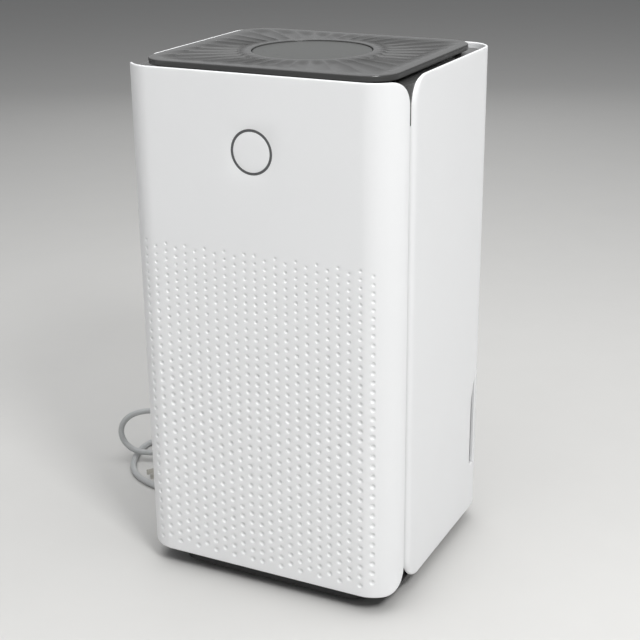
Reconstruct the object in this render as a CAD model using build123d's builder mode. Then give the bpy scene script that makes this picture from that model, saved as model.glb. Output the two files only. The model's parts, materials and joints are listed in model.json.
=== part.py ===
"""Dehumidifier: a white two-part casing round a small refrigeration circuit.

Millimetres. The origin is on the floor, under the middle of the casing. +Z is up and the front faces -Y.
The water tank and the air intake are at the back, and the air leaves through the gap round the top plate.
"""

import os
from math import cos, radians, sin, tan

from build123d import *

os.makedirs("parts", exist_ok=True)

# ---------------------------------------------------------------- driving dimensions
BODY_W, BODY_D = 280.0, 248.0  # casing, outside
CASE_Z0, CASE_Z1 = 20.0, 520.0  # its lower and upper edges
FRONT_R, REAR_R = 33.0, 26.0  # its plan corners
WALL = 2.5
SEAM_Y = -92.0  # rear edge of the front cover
SEAM_GAP = 8.0  # joint between the two covers
FIT = 0.5  # plain clearance between plastic parts

PLATE_W, PLATE_D = 252.0, 222.0  # floating top plate
PLATE_Z0, PLATE_Z1 = 518.0, 523.5
DECK_Z, SKIRT_Z0 = 514.3, 478.0  # top of the deck under the plate, and foot of its skirt
DISC_R = 58.0
FLUTES = 36

PAN_Z0, PAN_Z1 = 5.0, 26.0  # base pan
PLINTH_X, PLINTH_Y0, PLINTH_Y1 = 104.0, -110.0, 100.0

BULKHEAD_Y = 10.0  # front face of the wall between compressor and tank
TANK_X = 92.0  # half width of the tank body
TANK_Y0, TANK_Y1 = 24.0, 119.0
TANK_Z0, TANK_Z1 = 69.5, 214.0
PANEL_X, PANEL_Z0, PANEL_Z1 = 112.0, 70.0, 250.0  # white panel on the tank
GRILLE_X, GRILLE_Z0, GRILLE_Z1 = 112.0, 268.5, 501.5
GRILLE_AXIS_Y, GRILLE_AXIS_Z = 120.0, 272.0
GRIP_Y, GRIP_Z0, GRIP_Z1 = 87.0, 74.0, 193.0  # hand grips in the rear corners
WING_Y = 95.5  # front edge of the tank panel's wings

HANDLE_Y, HANDLE_Z, HANDLE_ARM = 80.0, 223.0, 30.0
FLOAT_X, FLOAT_Y, FLOAT_Z = 40.0, 100.0, 203.0  # float pivot

COIL_X, COIL_Z0, COIL_Z1 = 104.0, 276.0, 486.0  # fin packs
EVAPORATOR_Y, CONDENSER_Y, PACK_DEPTH = 84.0, 54.0, 22.0
FAN_Z, FAN_R, SCROLL_R = 372.0, 82.0, 94.0
SCROLL_Y0, SCROLL_Y1 = -30.0, 40.0
SHAFT_R = 4.0

COMP_X, COMP_Y, COMP_R = -40.0, -44.0, 46.0
COMP_Z0, COMP_Z1 = 24.0, 186.0

CORD_D = 7.0
CORD_EXIT = (-92.0, 150.0, 44.0)
FLOOR = CORD_D / 2  # height of a cord's centre on the floor


# ---------------------------------------------------------------- shared shapes
def save(piece, name):
    """Labels a finished piece and writes its STEP."""
    piece.part.label = name
    export_step(piece.part, f"parts/{name}.step")


def block(x, y, z, mode=Mode.ADD):
    """A box given by its limits along each axis."""
    with Locations(((x[0] + x[1]) / 2, (y[0] + y[1]) / 2, (z[0] + z[1]) / 2)):
        Box(x[1] - x[0], y[1] - y[0], z[1] - z[0], mode=mode)


def rod(radius, start, end, axis, mode=Mode.ADD):
    """A cylinder along X, Y or Z, from start for a length of end."""
    turn = {"X": (0, 90, 0), "Y": (-90, 0, 0), "Z": (0, 0, 0)}[axis]
    with Locations(Location(start, turn)):
        Cylinder(radius, end, align=(Align.CENTER, Align.CENTER, Align.MIN), mode=mode)


def rounded(width, depth, radius, z, y=0.0):
    """A rounded rectangle lying at height z, centred on x = 0."""
    with BuildSketch(Plane.XY.offset(z)) as outline:
        with Locations((0, y)):
            RectangleRounded(width, depth, radius)
    return outline.sketch


def case_plan(inset, z):
    """The casing's plan, set in from its outer face."""
    with BuildSketch(Plane.XY.offset(z)) as outline:
        Rectangle(BODY_W - 2 * inset, BODY_D - 2 * inset)
        fillet(outline.vertices().group_by(Axis.Y)[0], FRONT_R - inset)
        fillet(outline.vertices().group_by(Axis.Y)[-1], REAR_R - inset)
    return outline.sketch


def case_ring(inset, thickness, z0, z1):
    """An upright wall that follows the casing's plan."""
    extrude(case_plan(inset, z0), amount=z1 - z0)
    extrude(case_plan(inset + thickness, z0), amount=z1 - z0, mode=Mode.SUBTRACT)


def side_profile(y0, y1, top_r, bottom_r, rounded_end):
    """Keeps what lies inside a side view whose seam corners are rounded."""
    with BuildSketch(Plane.YZ.offset(-BODY_W)) as view:
        with Locations(((y0 + y1) / 2, (CASE_Z0 + CASE_Z1) / 2)):
            Rectangle(y1 - y0, CASE_Z1 - CASE_Z0)
        fillet(view.vertices().group_by(Axis.X)[rounded_end].sort_by(Axis.Y)[-1], top_r)
        fillet(view.vertices().group_by(Axis.X)[rounded_end].sort_by(Axis.Y)[0], bottom_r)
    extrude(view.sketch, amount=2 * BODY_W, mode=Mode.INTERSECT)


def grip_view(inset):
    """The hand grips in the rear corners seen from the side, set in all round."""
    with BuildSketch(Plane.YZ.offset(-BODY_W)) as view:
        with BuildLine():
            Line((GRIP_Y, GRIP_Z0), (BODY_D, GRIP_Z0))
            Line((BODY_D, GRIP_Z0), (BODY_D, GRIP_Z1 + 3))
            Line((BODY_D, GRIP_Z1 + 3), (121.0, GRIP_Z1))
            ThreePointArc((121.0, GRIP_Z1), (96.0, 172.0), (GRIP_Y, 138.0))
            Line((GRIP_Y, 138.0), (GRIP_Y, GRIP_Z0))
        make_face()
        if inset:
            offset(amount=-inset, kind=Kind.INTERSECTION)
    return view.sketch


def pipe(points, radius, bend):
    """A round pipe through points, with the same bend radius at each corner."""
    with BuildLine() as route:
        FilletPolyline(*points, radius=bend)
    with BuildSketch(Plane(origin=route.line @ 0, z_dir=route.line % 0)) as section:
        Circle(radius)
    sweep(section.sketch, path=route.line)


# ---------------------------------------------------------------- casing
SCREW_R = 1.5
FRONT_BOSS_X, SIDE_BOSS_X, SIDE_BOSS_Y = (-60, 60), 130.0, (-55, 0, 55)
RING_R, RING_W, RING_DEPTH, RING_Z = 21.0, 2.3, 1.6, CASE_Z1 - 70.0

with BuildPart() as front_cover:
    case_ring(0, WALL, CASE_Z0, CASE_Z1)
    side_profile(-BODY_D / 2 - 1, SEAM_Y, 23.0, 26.0, -1)
    with BuildSketch(Plane.XZ.offset(BODY_D / 2)):  # groove for the light ring
        with Locations((0, RING_Z)):
            Circle(RING_R)
            Circle(RING_R - RING_W, mode=Mode.SUBTRACT)
    extrude(amount=-RING_DEPTH, mode=Mode.SUBTRACT)
    for z in (60.0, 180.0, 300.0, 400.0):  # ribs that clip behind the seam strips
        for side in (-1, 1):
            block(sorted((side * 127.0, side * 137.6)), (-100.0, -98.0), (z - 6, z + 6))
    for x in FRONT_BOSS_X:
        block((x - 5, x + 5), (-121.6, -113.5), (PAN_Z1 + 0.2, 40))
        rod(SCREW_R, (x, -117, PAN_Z1), 12, "Z", Mode.SUBTRACT)
save(front_cover, "front_cover")

with BuildPart() as light_ring:
    rod(RING_R, (0, -BODY_D / 2, RING_Z), RING_DEPTH, "Y")
    rod(RING_R - RING_W, (0, -BODY_D / 2, RING_Z), RING_DEPTH, "Y", Mode.SUBTRACT)
save(light_ring, "light_ring")

with BuildPart() as ring_light_board:
    rod(24.0, (0, -BODY_D / 2 + WALL, RING_Z), 1.6, "Y")
    rod(5.0, (0, -BODY_D / 2 + WALL, RING_Z), 1.6, "Y", Mode.SUBTRACT)
    with Locations(Location((0, -BODY_D / 2 + WALL + 1.6, RING_Z), (-90, 0, 0))):
        with PolarLocations(19.0, 12):
            Box(3.0, 3.0, 1.2, align=(Align.CENTER, Align.CENTER, Align.MIN))
save(ring_light_board, "ring_light_board")

STRIP_Z0, STRIP_Z1 = 250.5, 266.5  # rear wall between the tank panel and the grille
PORT_X, PORT_Z = 78.0, (STRIP_Z0 + STRIP_Z1) / 2

with BuildPart() as rear_shell:
    case_ring(0, WALL, CASE_Z0, CASE_Z1)
    side_profile(SEAM_Y + SEAM_GAP, BODY_D / 2 + 1, 27.0, 26.0, 0)
    with BuildSketch(Plane.XZ.offset(-BODY_D / 2 - 1)):  # openings in the rear wall
        with Locations((0, (PANEL_Z0 + STRIP_Z0 - FIT) / 2)):
            Rectangle(2 * (PANEL_X + FIT), STRIP_Z0 - PANEL_Z0 + FIT)
        with Locations((0, (STRIP_Z1 + GRILLE_Z1 + FIT) / 2)):
            Rectangle(2 * (GRILLE_X + FIT), GRILLE_Z1 + FIT - STRIP_Z1)
        with Locations((PORT_X, PORT_Z)):
            Circle(6.5)
        with Locations((CORD_EXIT[0], CORD_EXIT[2])):
            Circle(7.0)
    extrude(amount=12.0, mode=Mode.SUBTRACT)
    extrude(grip_view(0), amount=2 * BODY_W, mode=Mode.SUBTRACT)
    for side in (-1, 1):  # hinge eyes for the grille
        block(sorted((side * 113.2, side * 118.0)), (115.5, 122.0), (267.0, 277.0))
        rod(2.05, (side * 115.5 - 3, GRILLE_AXIS_Y, GRILLE_AXIS_Z), 6.0, "X", Mode.SUBTRACT)
        for y in SIDE_BOSS_Y:
            block(sorted((side * 125, side * 137.6)), (y - 5, y + 5), (PAN_Z1 + 0.2, 40))
            rod(SCREW_R, (side * SIDE_BOSS_X, y, PAN_Z1), 12, "Z", Mode.SUBTRACT)
save(rear_shell, "rear_shell")

with BuildPart() as seam_strips:  # dark uprights seen in the joints between the covers
    for side in (-1, 1):
        block(sorted((side * 127.5, side * 134.0)), (SEAM_Y - 5.5, SEAM_Y + 17.0), (PAN_Z1, SKIRT_Z0))
save(seam_strips, "seam_strips")

with BuildPart() as grip_cups:  # pockets behind the hand grips
    for side in (-1, 1):
        block(sorted((side * 94.0, side * 137.3)), (GRIP_Y - 2.0, 121.0), (GRIP_Z0 - 2.0, GRIP_Z1 + 2))
        block(sorted((side * 96.0, side * 140.0)), (GRIP_Y, 124.0), (GRIP_Z0, GRIP_Z1), Mode.SUBTRACT)
    extrude(case_plan(WALL + 0.2, CASE_Z0), amount=BODY_D, mode=Mode.INTERSECT)
save(grip_cups, "grip_cups")

CASE_SCREWS = [(x, -117) for x in FRONT_BOSS_X]
CASE_SCREWS += [(side * SIDE_BOSS_X, y) for side in (-1, 1) for y in SIDE_BOSS_Y]

with BuildPart() as base_pan:
    extrude(rounded(2 * PLINTH_X, PLINTH_Y1 - PLINTH_Y0, 18.0, PAN_Z0, (PLINTH_Y0 + PLINTH_Y1) / 2), amount=21)
    extrude(case_plan(WALL + FIT, PAN_Z1 - 4), amount=4)
    inner = rounded(2 * PLINTH_X - 6, PLINTH_Y1 - PLINTH_Y0 - 6, 15.0, PAN_Z0 + 3, (PLINTH_Y0 + PLINTH_Y1) / 2)
    extrude(inner, amount=30, mode=Mode.SUBTRACT)
    for x, y in CASE_SCREWS:
        rod(SCREW_R, (x, y, PAN_Z0), 30, "Z", Mode.SUBTRACT)
save(base_pan, "base_pan")

with BuildPart() as casing_screws:
    for x, y in CASE_SCREWS:
        rod(3.5, (x, y, CASE_Z0), 2.0, "Z")
        rod(SCREW_R, (x, y, CASE_Z0), 17.0, "Z")
save(casing_screws, "casing_screws")

with BuildPart() as feet:
    with BuildSketch():
        with Locations((-84, -92), (84, -92), (-84, 82), (84, 82)):
            Circle(12.0)
    extrude(amount=PAN_Z0)
    chamfer(feet.edges().group_by(Axis.Z)[0], 1.0)
save(feet, "feet")

# ---------------------------------------------------------------- top
with BuildPart() as top_deck:
    case_ring(WALL + FIT, 2.5, SKIRT_Z0, DECK_Z)
    block((-118, 118), (100, 125), (SKIRT_Z0, GRILLE_Z1 + 3), Mode.SUBTRACT)
    extrude(case_plan(WALL + FIT, DECK_Z - 2.5), amount=2.5)
    extrude(rounded(212, 182, 26, DECK_Z - 5), amount=10, mode=Mode.SUBTRACT)  # air outlet
    extrude(rounded(218, 188, 29, DECK_Z - 5), amount=5)
    extrude(rounded(212, 182, 26, DECK_Z - 10), amount=20, mode=Mode.SUBTRACT)
    for x, y in ((-116, -86), (116, -86), (-116, 84), (116, 84)):  # posts that carry the plate
        rod(4.0, (x, y - 1, DECK_Z), PLATE_Z0 - DECK_Z, "Z")
    block((-110, 110), (-8, 8), (DECK_Z - 12, DECK_Z - 8))  # bridge for the control unit
    for side in (-1, 1):
        block(sorted((side * 105, side * 112)), (-8, 8), (DECK_Z - 12, DECK_Z - 2.5))
save(top_deck, "top_deck")

FLUTE_R0, FLUTE_R1, FLUTE_W = 70.0, 104.0, 9.5

with BuildPart() as top_plate:
    extrude(rounded(PLATE_W, PLATE_D, 30.0, PLATE_Z0, -1.0), amount=PLATE_Z1 - PLATE_Z0)
    chamfer(top_plate.faces().sort_by(Axis.Z)[-1].edges(), 1.0)
    extrude(rounded(PLATE_W - 6, PLATE_D - 6, 27.0, PLATE_Z0, -1.0), amount=2.5, mode=Mode.SUBTRACT)
    rod(DISC_R + 3.0, (0, 0, PLATE_Z0), 2.5, "Z")
    rod(DISC_R, (0, 0, PLATE_Z0), 10, "Z", Mode.SUBTRACT)
    for x, y in ((-116, -86), (116, -86), (-116, 84), (116, 84)):
        rod(4.0, (x, y - 1, PLATE_Z0), 2.5, "Z")
    with BuildSketch(Plane.XY.offset(PLATE_Z1)):  # radial flutes
        with PolarLocations((FLUTE_R0 + FLUTE_R1) / 2, FLUTES):
            SlotOverall(FLUTE_R1 - FLUTE_R0, FLUTE_W)
    extrude(amount=-1.8, mode=Mode.SUBTRACT, taper=50)
save(top_plate, "top_plate")

with BuildPart() as control_disc:
    rod(DISC_R - 0.6, (0, 0, PLATE_Z0 + 0.5), 4.0, "Z")
    chamfer(control_disc.faces().sort_by(Axis.Z)[-1].edges(), 0.4)
save(control_disc, "control_disc")

with BuildPart() as control_board:
    rod(DISC_R - 6, (0, 0, PLATE_Z0 - 2.5), 1.6, "Z")
    with PolarLocations(40.0, 8):  # touch springs up to the disc
        with Locations((0, 0, PLATE_Z0 - 0.9)):
            Cylinder(3.0, 1.4, align=(Align.CENTER, Align.CENTER, Align.MIN))
save(control_board, "control_board")

with BuildPart() as control_carrier:  # pan that holds the board on the bridge
    rod(DISC_R + 2.0, (0, 0, DECK_Z - 8), PLATE_Z0 - DECK_Z + 8, "Z")
    rod(DISC_R - 0.5, (0, 0, DECK_Z - 6), 20, "Z", Mode.SUBTRACT)
    with PolarLocations(40.0, 4):
        with Locations((0, 0, DECK_Z - 6.5)):
            Cylinder(3.0, PLATE_Z0 - 2.5 - DECK_Z + 6.5, align=(Align.CENTER, Align.CENTER, Align.MIN))
save(control_carrier, "control_carrier")

# ---------------------------------------------------------------- inner frame and tank bay
with BuildPart() as bulkhead:  # wall between the compressor and the tank, with the tank's shelf
    block((-118, 118), (BULKHEAD_Y, BULKHEAD_Y + 3), (PAN_Z1, 262))
    block((-118, 118), (BULKHEAD_Y + 3, 119), (TANK_Z0 - 3.5, TANK_Z0 - 0.5))
    for x in (-117, -60, 60, 117):
        block((x - 1.0, x + 1.0), (BULKHEAD_Y + 3, 96), (PAN_Z1, TANK_Z0 - 3.5))
    for side in (-1, 1):  # rails that guide the tank
        rail = sorted((side * (TANK_X + 0.5), side * (TANK_X + 1.8)))
        block(rail, (BULKHEAD_Y + 3, 84), (TANK_Z0 - 0.5, TANK_Z0 + 12))
    rod(5.0, (-105, BULKHEAD_Y - 1, 40), 5, "Y", Mode.SUBTRACT)  # cord passage
save(bulkhead, "bulkhead")

with BuildPart() as tank_switch:  # reed switch that reads the float's magnet
    block((FLOAT_X - 9, FLOAT_X + 9), (BULKHEAD_Y - 9, BULKHEAD_Y), (160, 186))
    rod(1.2, (FLOAT_X, BULKHEAD_Y - 14, 165), 5, "Y")
    rod(1.2, (FLOAT_X, BULKHEAD_Y - 14, 181), 5, "Y")
save(tank_switch, "tank_switch")

SPOUT = (-50.0, 60.0)

with BuildPart() as drip_tray:
    block((-112, 112), (46, 111), (262, 274))
    block((-110, 110), (48, 109), (264, 275), Mode.SUBTRACT)
    rod(7.0, (*SPOUT, 240), 22.5, "Z")
    rod(5.0, (*SPOUT, 239), 30, "Z", Mode.SUBTRACT)
save(drip_tray, "drip_tray")

with BuildPart() as drain_port:
    rod(7.8, (PORT_X, 111.5, PORT_Z), 10, "Y")
    rod(6.5, (PORT_X, 117, PORT_Z), 5, "Y", Mode.SUBTRACT)
    rod(4.0, (PORT_X, 100, PORT_Z), 30, "Y", Mode.SUBTRACT)
save(drain_port, "drain_port")

with BuildPart() as drain_plug:
    rod(3.95, (PORT_X, 112, PORT_Z), 6, "Y")
    rod(6.2, (PORT_X, 117.3, PORT_Z), 6.4, "Y")
    block((PORT_X - 5.5, PORT_X + 5.5), (121.5, 124.5), (PORT_Z + 1.2, PORT_Z + 8), Mode.SUBTRACT)
    block((PORT_X - 5.5, PORT_X + 5.5), (121.5, 124.5), (PORT_Z - 8, PORT_Z - 1.2), Mode.SUBTRACT)
save(drain_plug, "drain_plug")

# ---------------------------------------------------------------- water tank
TANK_WALL = 2.0
LID_T = 4.0
POUR_R = 15.0

with BuildPart() as tank_body:
    block((-TANK_X, TANK_X), (TANK_Y0, TANK_Y1), (TANK_Z0, TANK_Z1))
    fillet(tank_body.edges().filter_by(Axis.Z).group_by(Axis.Y)[0], 10.0)
    inner_x, inner_y = TANK_X - TANK_WALL, (TANK_Y0 + TANK_WALL, TANK_Y1 - TANK_WALL)
    block((-inner_x, inner_x), inner_y, (TANK_Z0 + TANK_WALL, TANK_Z1 + 1), Mode.SUBTRACT)
save(tank_body, "tank_body")

with BuildPart() as tank_lid:
    block((-TANK_X, TANK_X), (TANK_Y0, TANK_Y1), (TANK_Z1, TANK_Z1 + LID_T))
    fillet(tank_lid.edges().filter_by(Axis.Z).group_by(Axis.Y)[0], 10.0)
    rod(POUR_R, (*SPOUT, TANK_Z1 - 1), 8, "Z", Mode.SUBTRACT)
    for side in (-1, 1):  # eyes for the handle
        block(sorted((side * 74, side * 80)), (HANDLE_Y - 6, HANDLE_Y + 6), (TANK_Z1 + LID_T, HANDLE_Z + 5))
        rod(3.06, (side * 77 - 4, HANDLE_Y, HANDLE_Z), 8, "X", Mode.SUBTRACT)
        eye = sorted((side * 8.0 + FLOAT_X, side * 11.0 + FLOAT_X))
        block(eye, (FLOAT_Y - 4, FLOAT_Y + 4), (FLOAT_Z - 4, TANK_Z1))
        rod(1.56, (side * 9.5 + FLOAT_X - 2, FLOAT_Y, FLOAT_Z), 4, "X", Mode.SUBTRACT)
save(tank_lid, "tank_lid")

with BuildPart() as tank_seal:  # soft strip round the lid's pour hole
    rod(POUR_R + 3, (*SPOUT, TANK_Z1 + LID_T), 1.5, "Z")
    rod(POUR_R, (*SPOUT, TANK_Z1 + LID_T), 1.5, "Z", Mode.SUBTRACT)
save(tank_seal, "tank_seal")

with BuildPart() as panel_wings:  # wrap round the rear corners, for fingers to pull on
    case_ring(0, WALL, GRIP_Z0, GRIP_Z1)
    extrude(grip_view(FIT), amount=2 * BODY_W, mode=Mode.INTERSECT)
    block((-BODY_W, BODY_W), (WING_Y, BODY_D), (0, CASE_Z1), Mode.INTERSECT)

with BuildPart() as tank_panel:
    block((-PANEL_X, PANEL_X), (121, BODY_D / 2), (PANEL_Z0, PANEL_Z1))
    block((-90, 90), (TANK_Y1, 121), (PANEL_Z0 + 1, TANK_Z1 - 1))
    fillet(tank_panel.edges().filter_by(Axis.Y).group_by(Axis.Z)[-1], 6.0)
    add(panel_wings.part)
    with BuildSketch(Plane.XZ.offset(-BODY_D / 2 - 1)):  # water-level window
        with Locations((58, 150)):
            SlotOverall(110, 12, rotation=90)
    extrude(amount=4, mode=Mode.SUBTRACT)
save(tank_panel, "tank_panel")

with BuildPart() as level_window:
    with BuildSketch(Plane.XZ.offset(-BODY_D / 2 + 0.4)):
        with Locations((58, 150)):
            SlotOverall(110, 12, rotation=90)
    extrude(amount=2.6)
save(level_window, "level_window")

with BuildPart() as tank_handle:
    for side in (-1, 1):
        block(sorted((side * 80.4, side * 85.4)), (HANDLE_Y, HANDLE_Y + HANDLE_ARM), (HANDLE_Z - 4, HANDLE_Z + 4))
        rod(4.0, (side * 82.9 - 2.5, HANDLE_Y, HANDLE_Z), 5, "X")
        rod(3.0, (side * 79.7 - 5.7, HANDLE_Y, HANDLE_Z), 11.4, "X")
    rod(4.0, (-85.4, HANDLE_Y + HANDLE_ARM, HANDLE_Z), 170.8, "X")
save(tank_handle, "tank_handle")

with BuildPart() as tank_float:
    rod(1.5, (FLOAT_X - 11, FLOAT_Y, FLOAT_Z), 22, "X")  # pivot
    block((FLOAT_X - 6, FLOAT_X + 6), (FLOAT_Y - 34, FLOAT_Y), (FLOAT_Z - 2, FLOAT_Z + 2))
    block((FLOAT_X - 16, FLOAT_X + 16), (34, FLOAT_Y - 30), (FLOAT_Z - 24, FLOAT_Z - 2))
    block((FLOAT_X - 5, FLOAT_X + 5), (33, 40), (FLOAT_Z - 18, FLOAT_Z - 8), Mode.SUBTRACT)
save(tank_float, "tank_float")

with BuildPart() as float_magnet:
    block((FLOAT_X - 5, FLOAT_X + 5), (34, 40), (FLOAT_Z - 18, FLOAT_Z - 8))
save(float_magnet, "float_magnet")

# ---------------------------------------------------------------- air intake
SLAT_PITCH, SLAT_GAP = 7.0, 3.6

with BuildPart() as intake_grille:
    block((-GRILLE_X, GRILLE_X), (119, BODY_D / 2), (GRILLE_Z0, GRILLE_Z1))
    fillet(intake_grille.edges().filter_by(Axis.Y).group_by(Axis.Z)[-1], 6.0)
    block((-106, 106), (118.5, 121.5), (GRILLE_Z0 + 8, GRILLE_Z1 - 8), Mode.SUBTRACT)
    with BuildSketch(Plane.XZ.offset(-BODY_D / 2 - 1)):
        with Locations((0, (GRILLE_Z0 + GRILLE_Z1) / 2 + 2)):
            with GridLocations(70, SLAT_PITCH, 3, 29):
                SlotOverall(66, SLAT_GAP)
    extrude(amount=8, mode=Mode.SUBTRACT)
    for side in (-1, 1):
        rod(2.0, (side * 114.5 - 3, GRILLE_AXIS_Y, GRILLE_AXIS_Z), 6, "X")
save(intake_grille, "intake_grille")

with BuildPart() as filter_frame:
    block((-105, 105), (112, 118.6), (GRILLE_Z0 + 9, GRILLE_Z1 - 9))
    fillet(filter_frame.edges().filter_by(Axis.Y), 4.0)
    for column in (-1, 1):
        for row in range(4):
            low = GRILLE_Z0 + 14 + row * 52
            block(sorted((column * 2.0, column * 101.0)), (111, 120), (low, low + 49), Mode.SUBTRACT)
save(filter_frame, "filter_frame")

with BuildPart() as filter_mesh:
    for column in (-1, 1):
        for row in range(4):
            low = GRILLE_Z0 + 14 + row * 52
            block(sorted((column * 2.0, column * 101.0)), (115, 115.8), (low, low + 49))
save(filter_mesh, "filter_mesh")


# ---------------------------------------------------------------- refrigeration circuit
def fin_pack(y):
    """Upright fins on a serpentine of tubes; y is the middle of the pack."""
    with BuildPart() as pack:
        for n in range(33):
            x = -96.0 + 6.0 * n
            block((x - 0.4, x + 0.4), (y - PACK_DEPTH / 2, y + PACK_DEPTH / 2), (COIL_Z0, COIL_Z1))
        for side in (-1, 1):  # end plates
            end = sorted((side * 99.0, side * 100.5))
            block(end, (y - PACK_DEPTH / 2 - 3, y + PACK_DEPTH / 2), (COIL_Z0, COIL_Z1))
        for row in range(8):
            rod(4.0, (-102, y, COIL_Z0 + 13 + 26 * row), 204, "X")
        for row in range(7):
            side = 1 if row % 2 else -1
            low, high = COIL_Z0 + 13 + 26 * row, COIL_Z0 + 39 + 26 * row
            block(sorted((side * 102, side * 108)), (y - 4, y + 4), (low - 4, high + 4))
            inner = sorted((side * 100.6, side * 104))
            block(inner, (y - 5, y + 5), (low + 4, high - 4), Mode.SUBTRACT)
    return pack


evaporator = fin_pack(EVAPORATOR_Y + PACK_DEPTH / 2)
save(evaporator, "evaporator")
condenser = fin_pack(CONDENSER_Y + PACK_DEPTH / 2)
save(condenser, "condenser")

COMP_FEET = [(COMP_X + 54 * cos(radians(a)), COMP_Y + 54 * sin(radians(a))) for a in (30, 150, 270)]

with BuildPart() as compressor:
    rod(COMP_R, (COMP_X, COMP_Y, COMP_Z0), COMP_Z1 - COMP_Z0, "Z")
    fillet(compressor.edges().group_by(Axis.Z)[-1], 18.0)
    rod(COMP_R - 3, (COMP_X, COMP_Y, COMP_Z0 + 3), 138, "Z", Mode.SUBTRACT)
    rod(36.0, (COMP_X, COMP_Y, COMP_Z0), 125, "Z")  # pump and motor inside the shell
    with BuildSketch(Plane.XY.offset(COMP_Z0 - 3)) as foot_plate:
        with Locations((COMP_X, COMP_Y)):
            Circle(COMP_R - 4)
        for place in COMP_FEET:
            with Locations(place):
                Circle(8.0)
            with BuildLine():
                Polyline(*COMP_FEET, close=True)
            make_face()
    extrude(amount=3)
    for x, y in COMP_FEET:
        rod(2.5, (x, y, COMP_Z0 - 4), 6, "Z", Mode.SUBTRACT)
    rod(9.0, (COMP_X, COMP_Y + 10, COMP_Z1 - 2), 5, "Z")
    block((COMP_X - 62, COMP_X - 40), (COMP_Y - 14, COMP_Y + 14), (110, 150))  # terminal cover
save(compressor, "compressor")

with BuildPart() as accumulator:
    low = 44.0
    pipe([(30, -22, 68), (30, -22, low), (COMP_X + COMP_R - 5, -30, low)], 3.0, 8.0)
    rod(COMP_R, (COMP_X, COMP_Y, COMP_Z0), 60, "Z", Mode.SUBTRACT)
    rod(17.0, (30, -22, 66), 104, "Z")
    fillet(accumulator.edges().filter_by(GeomType.CIRCLE).group_by(Axis.Z)[-1], 8.0)
save(accumulator, "accumulator")

with BuildPart() as compressor_mounts:  # rubber grommets
    for x, y in COMP_FEET:
        rod(6.5, (x, y, PAN_Z0 + 3), COMP_Z0 - 3 - PAN_Z0 - 3, "Z")
        rod(2.5, (x, y, PAN_Z0 + 3), 20, "Z", Mode.SUBTRACT)
save(compressor_mounts, "compressor_mounts")

with BuildPart() as compressor_bolts:
    for x, y in COMP_FEET:
        rod(2.5, (x, y, PAN_Z0 + 3), COMP_Z0 - PAN_Z0 - 3, "Z")
        rod(4.5, (x, y, COMP_Z0), 3, "Z")
save(compressor_bolts, "compressor_bolts")

EVAP_Y, COND_Y = EVAPORATOR_Y + PACK_DEPTH / 2, CONDENSER_Y + PACK_DEPTH / 2
ROW_LOW, ROW_HIGH = COIL_Z0 + 13, COIL_Z0 + 195  # lowest and highest tube of a pack
PIPE_R, PACK_END = 3.0, 102.0
DRIER_X, DRIER_Z0, DRIER_Z1 = 117.0, 310.0, 366.0

with BuildPart() as suction_pipe:
    pipe([(30, -22, 170), (30, -22, 232), (122, -22, 232), (122, EVAP_Y, 232),
          (122, EVAP_Y, ROW_LOW), (PACK_END, EVAP_Y, ROW_LOW)], PIPE_R, 10.0)
save(suction_pipe, "suction_pipe")

with BuildPart() as discharge_pipe:
    pipe([(COMP_X, COMP_Y + 10, COMP_Z1 + 3), (COMP_X, COMP_Y + 10, 248), (130, COMP_Y + 10, 248),
          (130, COND_Y, 248), (130, COND_Y, ROW_HIGH), (PACK_END, COND_Y, ROW_HIGH)], PIPE_R, 10.0)
save(discharge_pipe, "discharge_pipe")

with BuildPart() as liquid_pipe:
    pipe([(PACK_END, COND_Y, ROW_LOW), (DRIER_X, COND_Y, ROW_LOW), (DRIER_X, COND_Y, DRIER_Z0)], 2.5, 8.0)
save(liquid_pipe, "liquid_pipe")

with BuildPart() as filter_drier:
    rod(8.0, (DRIER_X, COND_Y, DRIER_Z0), DRIER_Z1 - DRIER_Z0, "Z")
    fillet(filter_drier.edges().filter_by(GeomType.CIRCLE), 4.0)
save(filter_drier, "filter_drier")

with BuildPart() as capillary_tube:
    pipe([(DRIER_X, COND_Y, DRIER_Z1), (DRIER_X, COND_Y, 400), (DRIER_X, EVAP_Y, 430),
          (DRIER_X, EVAP_Y, ROW_HIGH), (PACK_END, EVAP_Y, ROW_HIGH)], 1.5, 8.0)
save(capillary_tube, "capillary_tube")

# ---------------------------------------------------------------- fan
with BuildPart() as coil_shroud:  # leads the air from the packs into the fan
    block((-112, 112), (42, 45), (264, 488))
    rod(66.0, (0, 41, FAN_Z), 6, "Y", Mode.SUBTRACT)
save(coil_shroud, "coil_shroud")

SCROLL_X, SCROLL_DZ, OUTLET_X1, OUTLET_Z = 6.0, -4.0, 14.0, 500.0


def scroll_outline(inset):
    """The fan housing seen from the front: a round volute with its duct up to the top."""
    with BuildSketch(Plane.XZ) as outline:
        with Locations((SCROLL_X, FAN_Z + SCROLL_DZ)):
            Circle(SCROLL_R - inset)
        left, right = SCROLL_X - SCROLL_R + inset, OUTLET_X1 - inset
        with Locations(((left + right) / 2, (FAN_Z + OUTLET_Z) / 2)):
            Rectangle(right - left, OUTLET_Z - FAN_Z)
    return outline.sketch


with BuildPart() as fan_scroll:
    extrude(scroll_outline(0).moved(Location((0, SCROLL_Y1, 0))), amount=SCROLL_Y1 - SCROLL_Y0)
    inside = scroll_outline(2.0).moved(Location((0, SCROLL_Y1 - 2, 0)))
    extrude(inside, amount=SCROLL_Y1 - SCROLL_Y0 - 4, mode=Mode.SUBTRACT)
    block((-86, 12), (SCROLL_Y0 + 2, SCROLL_Y1 - 2), (OUTLET_Z - 5, OUTLET_Z + 1), Mode.SUBTRACT)
    rod(66.0, (0, SCROLL_Y1 - 3, FAN_Z), 6, "Y", Mode.SUBTRACT)
    rod(14.0, (0, SCROLL_Y0 - 1, FAN_Z), 4, "Y", Mode.SUBTRACT)
save(fan_scroll, "fan_scroll")

BLADES = 36

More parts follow.
